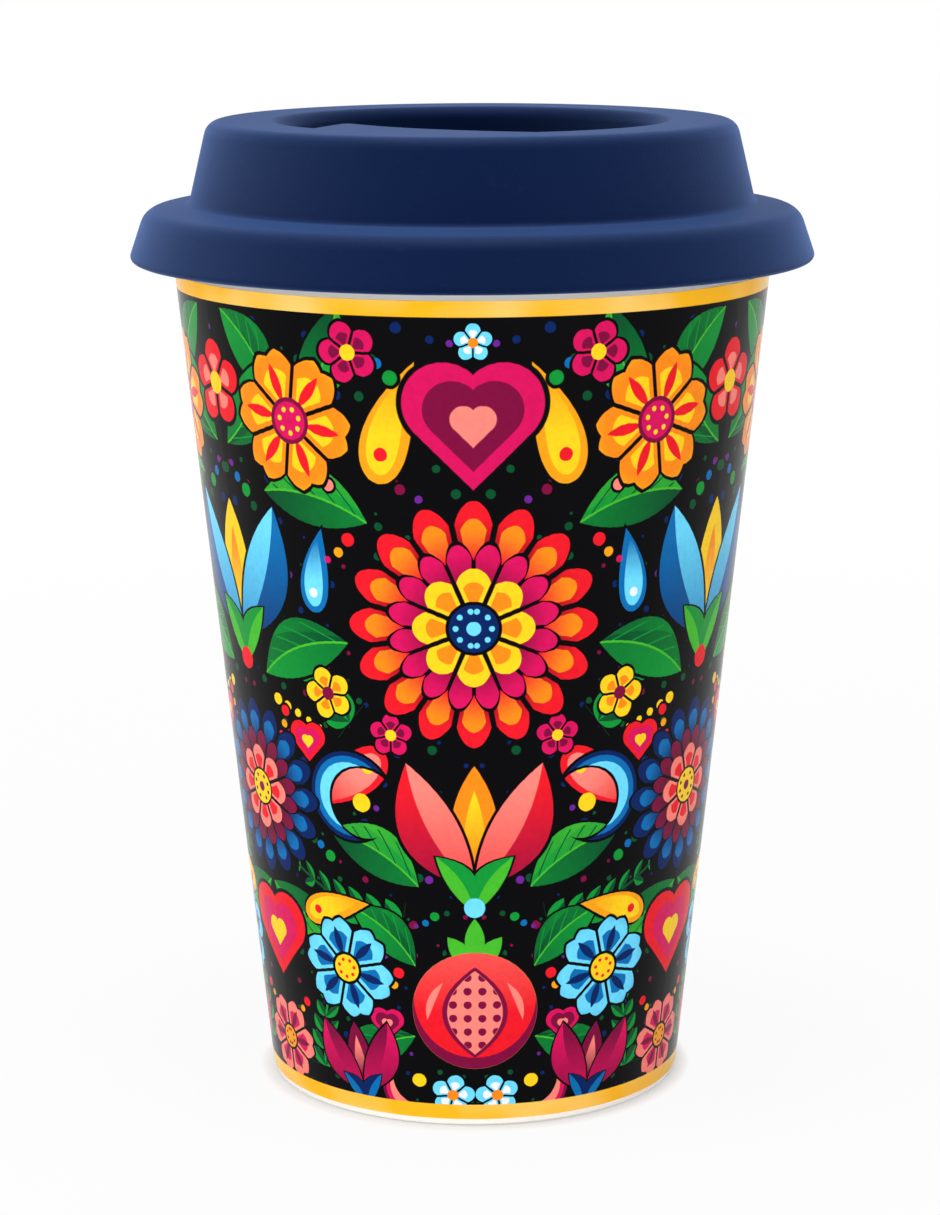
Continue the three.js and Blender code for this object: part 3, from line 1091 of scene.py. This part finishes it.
RIM_ROUND = 2.9 * MM
BOWL_ROUND = 6 * MM


class CUP_OT_inner_liner(bpy.types.Operator):
    """Glazed porcelain drinking bowl with its rolled rim"""

    bl_idname = "cup.inner_liner"
    bl_label = "Inner liner"

    def execute(self, context):
        sizes = context.scene.cup_sizes
        facets = context.scene.studio_look.facets
        joint = SHELL_BOX[1].z
        under = LINER_BOX[0].z
        floor = under + sizes.liner_floor
        corners = [
            (0, under),
            (liner_outer_radius(sizes, under), under, BOWL_ROUND + sizes.liner_wall),
            (liner_outer_radius(sizes, joint), joint),
            (outer_radius(sizes, joint), joint),
            (sizes.mouth_radius, RIM, RIM_ROUND),
            (liner_inner_radius(sizes, RIM), RIM, RIM_ROUND),
            (liner_inner_radius(sizes, floor), floor, BOWL_ROUND),
            (0, floor),
        ]
        piece = revolved("inner_liner_glazed", corners, FINISHES["porcelain"], facets)
        seated(piece, "cup", "porcelain", "inner_liner")
        return {"FINISHED"}


STEM_CLEARANCE = 0.1 * MM
SNAP_CLEARANCE = 0.2 * MM
BULB_GRIP = 0.7 * MM
BULB_ROUND = 0.3 * MM
BULB_TIP_ROUND = 0.6 * MM
NECK_ROUND = 0.15 * MM
HEAD_ROUND = 0.5 * MM
DIMPLE_DEPTH = 0.5 * MM
DIMPLE_ROUND = 1 * MM
DIMPLE_LIP_ROUND = 0.6 * MM
# Floor and lip of the dimple, as shares of the head's radius
DIMPLE_FLOOR_SHARE = 0.45
DIMPLE_LIP_SHARE = 0.6


class CUP_OT_vent_stopper(bpy.types.Operator):
    """Silicone stopper in the casting vent, with a dimpled head"""

    bl_idname = "cup.vent_stopper"
    bl_label = "Vent stopper"

    def execute(self, context):
        sizes = context.scene.cup_sizes
        facets = context.scene.studio_look.facets // 2
        low = STOPPER_BOX[0].z
        high = STOPPER_BOX[1].z
        head = STOPPER_BOX[1].x
        stem = sizes.vent_radius - STEM_CLEARANCE
        seat = sizes.foot_ring_height
        snap = seat + sizes.shell_floor + SNAP_CLEARANCE
        corners = [
            (0, low + DIMPLE_DEPTH),
            (DIMPLE_FLOOR_SHARE * head, low + DIMPLE_DEPTH, DIMPLE_ROUND),
            (DIMPLE_LIP_SHARE * head, low, DIMPLE_LIP_ROUND),
            (head, low, HEAD_ROUND),
            (head, seat, NECK_ROUND),
            (stem, seat),
            (stem, snap, NECK_ROUND),
            (sizes.vent_radius + BULB_GRIP, snap, BULB_ROUND),
            (stem, high, BULB_TIP_ROUND),
            (0, high),
        ]
        piece = revolved("vent_stopper_moulded", corners, FINISHES["stopper"], facets)
        seated(piece, "cup", "stopper_silicone", "vent_stopper")
        return {"FINISHED"}


# Printed wrap

WRAP_SEAT = 0.02 * MM
WRAP_THICKNESS = 0.1 * MM
WRAP_ROWS = 25
FRONT_ANGLE = -math.pi / 2

# Shares of the UV map that hold a panel's front, its back and its edges
UV_MARGIN = 0.005
FRONT_SHARE = 0.94
BACK_STRIP = (0.955, 0.975)
EDGE_STRIP = (0.983, 0.995)
EDGE_MARGIN = 0.02
# A face looks along a direction where their cosine is past this
FACING = 0.7


def wrap_tree():
    """A curved panel of the wrap: a grid laid on the cone, then given its thickness."""
    lengths = ("Start", "Sweep", "Low radius", "High radius", "Low", "High", "Thickness")
    others = {"Columns": "Int", "Rows": "Int", "Finish": "Material"}
    made = Geometry("Wrap panel", {**dict.fromkeys(lengths, "Float"), **others})
    net = {"Vertices X": made.given("Columns"), "Vertices Y": made.given("Rows")}
    grid = made.node("GeometryNodeMeshGrid", None, {"Size X": 1.0, "Size Y": 1.0, **net})
    where = made.node("GeometryNodeInputPosition")
    split = made.node("ShaderNodeSeparateXYZ", None, {0: where}).node

    def spread(axis, low, high):
        """From low to high across the grid, along that axis."""
        span = {"Value": split.outputs[axis], "From Min": -0.5, "From Max": 0.5}
        return made.node("ShaderNodeMapRange", None, {**span, "To Min": low, "To Max": high})

    start = made.given("Start")
    turn = spread("X", start, made.math("ADD", start, made.given("Sweep")))
    radius = spread("Y", made.given("Low radius"), made.given("High radius"))
    height = spread("Y", made.given("Low"), made.given("High"))
    x = made.math("MULTIPLY", made.math("COSINE", turn), radius)
    y = made.math("MULTIPLY", made.math("SINE", turn), radius)
    spot = made.node("ShaderNodeCombineXYZ", None, {0: x, 1: y, 2: height})
    laid = made.node("GeometryNodeSetPosition", None, {"Geometry": grid, "Position": spot})
    push = {"Mesh": laid, "Offset Scale": made.given("Thickness"), "Individual": False}
    front = made.node("GeometryNodeExtrudeMesh", {"mode": "FACES"}, push)
    back = made.node("GeometryNodeFlipFaces", None, {0: laid})
    both = made.node("GeometryNodeJoinGeometry", None, {0: front}).node
    made.tree.links.new(back, both.inputs[0])
    made.end(both.outputs[0])
    return made


def across_strip(strip, share):
    return strip[0] + (strip[1] - strip[0]) * share


def unrolled(mesh, middle, sweep, sizes):
    """Lays a panel out on its UV map: its front flat, its back and its four thin edges in strips."""
    layer = mesh.uv_layers.new(name="OFBake")
    low = WRAP_BOX[0].z
    high = WRAP_BOX[1].z

    def spot(point):
        """Shares across, up and through the panel."""
        across = math.remainder(math.atan2(point.y, point.x) - middle, math.tau) / sweep + 0.5
        depth = (point.xy.length - outer_radius(sizes, point.z)) / WRAP_THICKNESS
        return across, (point.z - low) / (high - low), depth

    for face in mesh.polygons:
        facing = face.normal.xy.dot(face.center.xy.normalized())
        level = abs(face.normal.z) > FACING
        beyond = face.normal.z > 0 if level else spot(face.center)[0] > 0.5
        for corner in face.loop_indices:
            across, up, depth = spot(mesh.vertices[mesh.loops[corner].vertex_index].co)
            if facing > FACING:
                u, v = UV_MARGIN + FRONT_SHARE * across, up
            elif facing < -FACING:
                u, v = across_strip(BACK_STRIP, across), up
            else:
                run = across if level else up
                edge = 2 * level + beyond
                u = across_strip(EDGE_STRIP, min(1, depth))
                v = (edge + across_strip((EDGE_MARGIN, 1 - EDGE_MARGIN), run)) / 4
            layer.uv[corner].vector = (u, across_strip((UV_MARGIN, 1 - UV_MARGIN), v))


class CUP_OT_printed_wrap(bpy.types.Operator):
    """Printed wrap, fired on the shell in one panel for each repeat of the print"""

    bl_idname = "cup.printed_wrap"
    bl_label = "Printed wrap"

    def execute(self, context):
        sizes = context.scene.cup_sizes
        low = WRAP_BOX[0].z
        high = WRAP_BOX[1].z
        panel = wrap_tree()
        sweep = math.tau / REPEATS
        for i in range(REPEATS):
            values = {
                "Start": FRONT_ANGLE + (i - 0.5) * sweep,
                "Sweep": sweep,
                "Low radius": outer_radius(sizes, low) + WRAP_SEAT,
                "High radius": outer_radius(sizes, high) + WRAP_SEAT,
                "Low": low,
                "High": high,
                "Thickness": WRAP_THICKNESS,
                "Columns": context.scene.studio_look.facets // REPEATS + 1,
                "Rows": WRAP_ROWS,
                "Finish": FINISHES["print"],
            }
            name = "printed_wrap_" + str(i + 1)
            piece = grown(name, bpy.data.meshes.new(name + "_start"), panel, values)
            piece.data.set_sharp_from_angle(angle=SHARP)
            unrolled(piece.data, FRONT_ANGLE + i * sweep, sweep, sizes)
            seated(piece, "cup", "printed_glaze", "wrap_transfer")
        return {"FINISHED"}


# Lid

SEAT_CLEARANCE = 0.2 * MM
WELL_DRAFT = 0.8 * MM
WELL_ROUND = 2 * MM
CEILING_ROUND = 2 * MM
CROWN_FOOT_ROUND = 1 * MM
BUNG_EDGE_ROUND = 1 * MM
SKIRT_EDGE_ROUND = 0.8 * MM

# Sealing beads round the bung, with their middles below the rim
BEAD_DEPTHS = (6.6 * MM, 3.4 * MM)
BEAD_HALF = 0.9 * MM
BEAD_HEIGHT = 0.6 * MM
BEAD_ROUND = 0.6 * MM
BEAD_FOOT_ROUND = 0.4 * MM

# Openings in the well's floor, with their middles inside the well's edge
SIP_INSET = 8.5 * MM
SIP_LENGTH = 11 * MM
SIP_WIDTH = 5.5 * MM
AIR_INSET = 9 * MM
AIR_WIDTH = 2.4 * MM
HOLE_EDGE_ROUND = 0.5 * MM
HOLE_EDGE_STEPS = 6
SLOT_POINTS = 24
MITRE_LIMIT = 0.3

# Land at the front of the well, with its angles in degrees
LAND_WIDTH = 8.8 * MM
LAND_TIP_ANGLE = 200
LAND_END_ANGLE = 220
LAND_START_ANGLE = 294
LAND_BOW = 4 * MM
LAND_EDGE_ROUND = 0.8 * MM
LAND_TIP_ROUND = 0.8 * MM
LAND_FALL = 0.03 * MM
LAND_STEPS = 24
LAND_EDGE_STEPS = 8


def polar(radius, degrees):
    return Vector((math.cos(math.radians(degrees)), math.sin(math.radians(degrees)))) * radius


def quarter_turn(steps):
    """Angles from 0 to a right angle."""
    return [math.pi / 2 * i / steps for i in range(steps + 1)]


def at_height(outline, z):
    return [(p.x, p.y, z) for p in outline]


def inset(points, distance):
    """A closed outline moved inwards along its normals."""
    moved = []
    count = len(points)
    for i, p in enumerate(points):
        ahead = (points[(i + 1) % count] - p).normalized()
        behind = (p - points[i - 1]).normalized()
        side = (ahead + behind).normalized()
        moved.append(p + Vector((-side.y, side.x)) * distance / max(MITRE_LIMIT, side.dot(ahead)))
    return moved


def loft(name, rings):
    """A closed mesh through rings of as many points each, the first and last one capped."""
    count = len(rings[0])
    mesh = bpy.data.meshes.new(name)
    faces = [tuple(range(count)), tuple(range((len(rings) - 1) * count, len(rings) * count))]
    for level in range(len(rings) - 1):
        for i in range(count):
            a = level * count + i
            b = level * count + (i + 1) % count
            faces.append((a, b, b + count, a + count))
    mesh.from_pydata([p for ring in rings for p in ring], [], faces)
    face_out(mesh)
    return mesh


def land_mesh(lid, well_radius, floor):
    """The land at the front of the well, a hair below the crown and buried in the well's wall."""
    top = LID_TOP - LAND_FALL
    buried = well_radius + lid.lip_round + LAND_EDGE_ROUND
    tip = polar(well_radius - LAND_WIDTH, LAND_TIP_ANGLE)
    start = polar(buried, LAND_START_ANGLE)
    end = polar(buried, LAND_END_ANGLE)
    chord = tip - start
    control = (start + tip) / 2 + Vector((-chord.y, chord.x)).normalized() * (2 * LAND_BOW)
    tip_arc = round_corner(control, tip, end, LAND_EDGE_ROUND + LAND_TIP_ROUND)
    sweep = LAND_START_ANGLE - LAND_END_ANGLE
    outline = [polar(buried, LAND_END_ANGLE + sweep * i / LAND_STEPS) for i in range(LAND_STEPS)]
    for i in range(LAND_STEPS):
        t = i / LAND_STEPS
        outline.append((1 - t) ** 2 * start + 2 * t * (1 - t) * control + t * t * tip_arc[0])
    outline += tip_arc
    rings = [at_height(outline, floor - lid.wall / 2)]
    for angle in quarter_turn(LAND_EDGE_STEPS):
        inwards = LAND_EDGE_ROUND * (1 - math.cos(angle))
        rise = LAND_EDGE_ROUND * (math.sin(angle) - 1)
        rings.append(at_height(inset(outline, inwards), top + rise))
    return loft("land", rings)


def slot_outline(x, slot_length, width):
    """A slot along Y with round ends, anticlockwise, with its middle on the X axis."""
    straight = (slot_length - width) / 2
    points = []
    for i in range(SLOT_POINTS):
        angle = math.tau * i / SLOT_POINTS
        shift = straight if math.sin(angle) >= 0 else -straight
        across = x + math.cos(angle) * width / 2
        along = shift + math.sin(angle) * width / 2
        points.append(Vector((across, along)))
    return points


def hole_cutter(name, outline, low, high):
    """A cutter that flares at both faces, so that it leaves rounded edges."""
    soft = HOLE_EDGE_ROUND
    rings = [at_height(inset(outline, -soft), low - soft)]
    for angle in quarter_turn(HOLE_EDGE_STEPS):
        flare = soft * (1 - math.sin(angle))
        rings.append(at_height(inset(outline, -flare), low + soft * math.sin(angle)))
    rings += [[(x, y, low + high - z) for x, y, z in ring] for ring in reversed(rings)]
    return loft(name, rings)


def applied(piece):
    """Turns the piece and its modifiers into a plain mesh."""
    graph = bpy.context.evaluated_depsgraph_get()
    result = bpy.data.meshes.new_from_object(piece.evaluated_get(graph))
    piece.modifiers.clear()
    piece.data = result


def combined(piece, mesh, operation):
    """Joins a mesh to the piece, or cuts it away."""
    tool = shown_object("tool", mesh)
    modifier = piece.modifiers.new("Combine", "BOOLEAN")
    modifier.operation = operation
    modifier.solver = "MANIFOLD"
    modifier.object = tool
    applied(piece)
    bpy.data.objects.remove(tool)


def smoothed(piece, finish):
    """Gives the joined piece one finish and even shading, with its sharp edges kept."""
    for face in piece.data.polygons:
        face.use_smooth = True
        face.material_index = 0
    piece.data.materials.clear()
    piece.data.materials.append(finish)
    piece.data.set_sharp_from_angle(angle=SHARP)
    piece.modifiers.new("Even shading", "WEIGHTED_NORMAL").keep_sharp = True
    applied(piece)


class CUP_OT_lid(bpy.types.Operator):
    """Navy silicone lid with its crown, well, land, flange and bung"""

    bl_idname = "cup.lid"
    bl_label = "Lid"

    def execute(self, context):
        sizes = context.scene.cup_sizes
        lid = context.scene.lid_sizes
        facets = context.scene.studio_look.facets
        seat = RIM + SEAT_CLEARANCE
        flange_top = RIM + lid.flange_rise
        skirt_low = RIM - lid.skirt_drop
        skirt = sizes.mouth_radius + lid.skirt_overhang
        shoulder = sizes.mouth_radius + lid.shoulder_overhang
        crown_foot = sizes.mouth_radius - lid.crown_step
        crown_top = crown_foot - lid.crown_taper
        well = crown_top - lid.crown_land
        well_foot = well - WELL_DRAFT
        floor = LID_TOP - lid.well_depth
        ceiling = LID_TOP - lid.wall
        bung_low = LID_BOX[0].z

        def bung(z):
            return liner_inner_radius(sizes, z) - lid.bung_gap

        bead_corners = []
        for depth in BEAD_DEPTHS:
            z = RIM - depth
            bead_corners += [
                (bung(z - BEAD_HALF), z - BEAD_HALF, BEAD_FOOT_ROUND),
                (bung(z) + BEAD_HEIGHT, z, BEAD_ROUND),
                (bung(z + BEAD_HALF), z + BEAD_HALF, BEAD_FOOT_ROUND),
            ]
        corners = [
            (0, floor - lid.wall),
            (well_foot + lid.wall, floor - lid.wall, WELL_ROUND + lid.wall),
            (well + lid.wall, ceiling, CEILING_ROUND),
            (crown_top - lid.wall, ceiling, CEILING_ROUND),
            (bung(bung_low) - lid.bung_wall, bung_low, BUNG_EDGE_ROUND),
            (bung(bung_low), bung_low, BUNG_EDGE_ROUND),
            *bead_corners,
            (bung(seat), seat, BUNG_EDGE_ROUND),
            (shoulder - lid.skirt_wall, seat, lid.shoulder_round - lid.skirt_wall),
            (skirt - lid.skirt_wall, skirt_low, SKIRT_EDGE_ROUND),
            (skirt, skirt_low, SKIRT_EDGE_ROUND),
            (shoulder, flange_top - lid.shoulder_drop, lid.shoulder_round),
            (crown_foot, flange_top, CROWN_FOOT_ROUND),
            (crown_top, LID_TOP, lid.crown_round),
            (well, LID_TOP, lid.lip_round),
            (well_foot, floor, WELL_ROUND),
            (0, floor),
        ]
        piece = revolved("lid_moulded", corners, FINISHES["silicone"], facets)
        combined(piece, land_mesh(lid, well, floor), "UNION")
        sip = slot_outline(SIP_INSET - well, SIP_LENGTH, SIP_WIDTH)
        air = slot_outline(well - AIR_INSET, AIR_WIDTH, AIR_WIDTH)
        for name, outline in (("sip_cutter", sip), ("air_cutter", air)):
            combined(piece, hole_cutter(name, outline, floor - lid.wall, floor), "DIFFERENCE")
        smoothed(piece, FINISHES["silicone"])
        seated(piece, "lid", "lid_silicone", "lid")
        return {"FINISHED"}


# Studio, in metres

FLOOR_HALF = 12
FLOOR_CELLS = 40
FLOOR_DARK = 0.86
FLOOR_LIGHT = 0.9

# How white the floor shows: at the foot, more past the contact line, more still far out
WHITE_AT_FOOT = 0.4
WHITE_PAST_CONTACT = 0.53
WHITE_FAR_OUT = 0.07
CONTACT_GAP = 0.2 * MM
CONTACT_FADE = 2.2 * MM
FAR_START = 0.1
FAR_FADE = 0.4

# Sines of the angles above the table where the white walls end and where the dim ceiling is reached
WALL_TOP = 0.18
CEILING_LOW = 0.5
# Share of the middle's light that the far right loses and the far left gains
RIGHT_FALL = 0.9

# Each line: light, place, size
LIGHTS = (
    ("key", (-0.85, -0.15, 0.35), (0.6, 1.0)),
    ("fill", (0.8, -0.45, 0.35), (0.8, 1.0)),
    ("top", (0, -0.05, 0.9), (0.5, 0.5)),
    ("front", (-0.5, -0.8, 0.1), (0.5, 0.19)),
    ("front", (0.5, -0.8, 0.1), (0.5, 0.19)),
)
LIT_MIDDLE = Vector((0, 0, RIM / 2))
SENSOR_WIDTH = 36


def seen_share(shader):
    """1 on rays that show the backdrop: from the camera, off a gloss or through a clear piece."""
    path = shader.node("ShaderNodeLightPath")
    rays = ("Is Camera Ray", "Is Glossy Ray", "Is Transmission Ray")
    return sum(path.output(name) for name in rays)


def backdrop_finish(foot_radius):
    """Near white where it is seen, but for a contact line at the foot. A pale floor to the light."""
    made, shader = new_finish("Studio floor")
    seen = seen_share(shader)
    pale = shader.mix(noise(shader, FLOOR_CELLS), [FLOOR_DARK] * 3, [FLOOR_LIGHT] * 3)
    lit = shader.node("ShaderNodeBsdfDiffuse", None, {"Color": pale})
    white = shader.node("ShaderNodeEmission", None, {"Color": (1, 1, 1, 1), "Strength": 1.0})
    x, y, _ = shader.parts(shader.place())
    out = x.far(y)
    clear = out.past(foot_radius + CONTACT_GAP, 1 / CONTACT_FADE, clamp=True)
    far = out.past(FAR_START, 1 / FAR_FADE, clamp=True)
    share = seen * (clear * WHITE_PAST_CONTACT + far * WHITE_FAR_OUT + WHITE_AT_FOOT)
    both = shader.node("ShaderNodeMixShader", None, {0: share.math("MINIMUM", 1), 1: lit, 2: white})
    shader.node("ShaderNodeOutputMaterial", None, {"Surface": both})
    return made


def studio_world(horizon, zenith):
    """White walls under a dim ceiling, dimmer to the right. White all round where it is seen."""
    world = bpy.data.worlds.new("Studio")
    world.use_nodes = True
    world.node_tree.nodes.clear()
    shader = Shader(world.node_tree)
    seen = seen_share(shader)
    right, _, rise = shader.parts(shader.node("ShaderNodeTexCoord", output="Generated"))
    ramp = {"interpolation_type": "SMOOTHSTEP"}
    span = {"From Min": WALL_TOP, "From Max": CEILING_LOW, "To Min": horizon, "To Max": zenith}
    glow = shader.node("ShaderNodeMapRange", ramp, {"Value": rise, **span})
    strength = glow * (1 - right * RIGHT_FALL) * (1 - seen) + seen
    sky = shader.node("ShaderNodeBackground", None, {"Color": (1, 1, 1, 1), "Strength": strength})
    shader.node("ShaderNodeOutputWorld", None, {"Surface": sky})
    bpy.context.scene.world = world


def soft_light(name, place, size, power):
    """A soft box that faces the middle of the cup."""
    lamp = bpy.data.lights.new(name, "AREA")
    lamp.shape = "RECTANGLE"
    lamp.size, lamp.size_y = size
    lamp.energy = power
    made = shown_object(name, lamp)
    made.location = place
    made.rotation_euler = (LIT_MIDDLE - Vector(place)).to_track_quat("-Z", "Y").to_euler()


def studio_floor(foot_radius):
    half = FLOOR_HALF
    corners = [(-half, -half, 0), (half, -half, 0), (half, half, 0), (-half, half, 0)]
    mesh = bpy.data.meshes.new("floor")
    mesh.from_pydata(corners, [], [(0, 1, 2, 3)])
    mesh.materials.append(backdrop_finish(foot_radius))
    return shown_object("studio_floor", mesh)


def studio_camera(look):
    lens = bpy.data.cameras.new("camera")
    lens.lens = look.lens
    lens.sensor_width = SENSOR_WIDTH
    camera = shown_object("camera", lens)
    camera.location = (look.offset, -look.distance, look.height)
    aim = Euler((math.pi / 2 - look.pitch, 0, 0)).to_matrix() @ Euler((0, 0, look.roll)).to_matrix()
    camera.rotation_euler = aim.to_euler()
    return camera


class CUP_OT_stage(bpy.types.Operator):
    """Pale floor, soft lights and the camera"""

    bl_idname = "cup.stage"
    bl_label = "Stage"

    def execute(self, context):
        scene = context.scene
        look = scene.studio_look
        studio_floor(scene.cup_sizes.foot_radius)
        studio_world(look.horizon_level, look.zenith_level)
        for name, place, size in LIGHTS:
            soft_light(name + "_light", place, size, getattr(look, name + "_power"))
        scene.camera = studio_camera(look)
        scene.view_settings.view_transform = "Standard"
        return {"FINISHED"}


# Add-on

OPERATORS = (
    CUP_OT_finishes,
    CUP_OT_outer_shell,
    CUP_OT_inner_liner,
    CUP_OT_vent_stopper,
    CUP_OT_printed_wrap,
    CUP_OT_lid,
    CUP_OT_stage,
)
GROUPS = {
    "cup_sizes": CupSizes,
    "lid_sizes": LidSizes,
    "print_colours": PrintColours,
    "finish_colours": FinishColours,
    "studio_look": StudioLook,
}


class VIEW3D_PT_cup(bpy.types.Panel):
    """Sizes, colours and steps of the cup"""

    bl_label = "Porcelain cup"
    bl_idname = "VIEW3D_PT_cup"
    bl_space_type = "VIEW_3D"
    bl_region_type = "UI"
    bl_category = "Cup"

    def draw(self, context):
        for operator in OPERATORS:
            self.layout.operator(operator.bl_idname)
        for key, group in GROUPS.items():
            box = self.layout.box()
            box.label(text=group.__doc__)
            for name in group.__annotations__:
                box.prop(getattr(context.scene, key), name)


CLASSES = (*GROUPS.values(), *OPERATORS, VIEW3D_PT_cup)


def register():
    for kind in CLASSES:
        bpy.utils.register_class(kind)
    for key, group in GROUPS.items():
        setattr(bpy.types.Scene, key, PointerProperty(type=group))


def unregister():
    for key in GROUPS:
        delattr(bpy.types.Scene, key)
    for kind in reversed(CLASSES):
        bpy.utils.unregister_class(kind)


def main():
    register()
    for operator in OPERATORS:
        group, name = operator.bl_idname.split(".")
        getattr(getattr(bpy.ops, group), name)()


if __name__ == "__main__":
    main()
